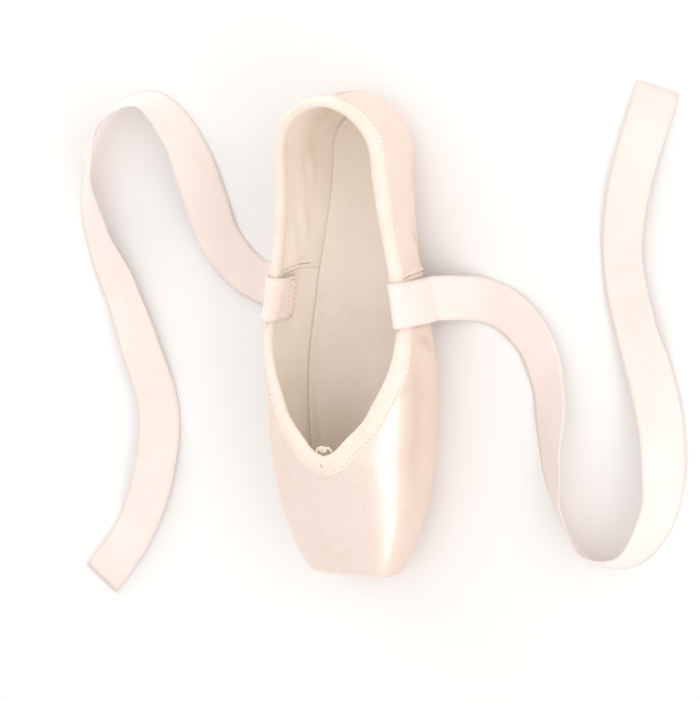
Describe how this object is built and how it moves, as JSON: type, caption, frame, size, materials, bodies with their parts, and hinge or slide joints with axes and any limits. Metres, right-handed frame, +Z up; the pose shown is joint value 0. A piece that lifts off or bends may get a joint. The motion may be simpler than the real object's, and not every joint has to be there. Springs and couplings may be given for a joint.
{
  "type": "pointe shoe",
  "caption": "Satin pointe shoe with a stiff box and flat platform, bound throat and collar, inset leather outsole and sewn-in satin ribbons.",
  "frame": {"origin": "bottom centre of the shoe without its ribbons: on the floor, under the middle of its length and width", "axes": "+Z up, +Y from toe to heel, +X to the left side of a foot that points its toes at -Y"},
  "size_m": [0.3356, 0.2726, 0.0605],
  "materials": {
    "satin": "pale peach satin, glossy along the weave",
    "sole_leather": "matt undyed leather, forefoot scored in a diamond pattern",
    "sock_cloth": "matt cream cotton",
    "binding_tape": "fine ribbed cotton tape, matt",
    "drawstring_cord": "thin cotton cord, matt",
    "ribbon_satin": "pale pink satin ribbon, soft gloss"
  },
  "bodies": {
    "root": {"upper": "satin", "outsole": "sole_leather", "insole": "sock_cloth", "binding": "binding_tape", "drawstring_knot": "drawstring_cord", "ribbon_right": "ribbon_satin", "ribbon_left": "ribbon_satin"}
  },
  "joints": []
}
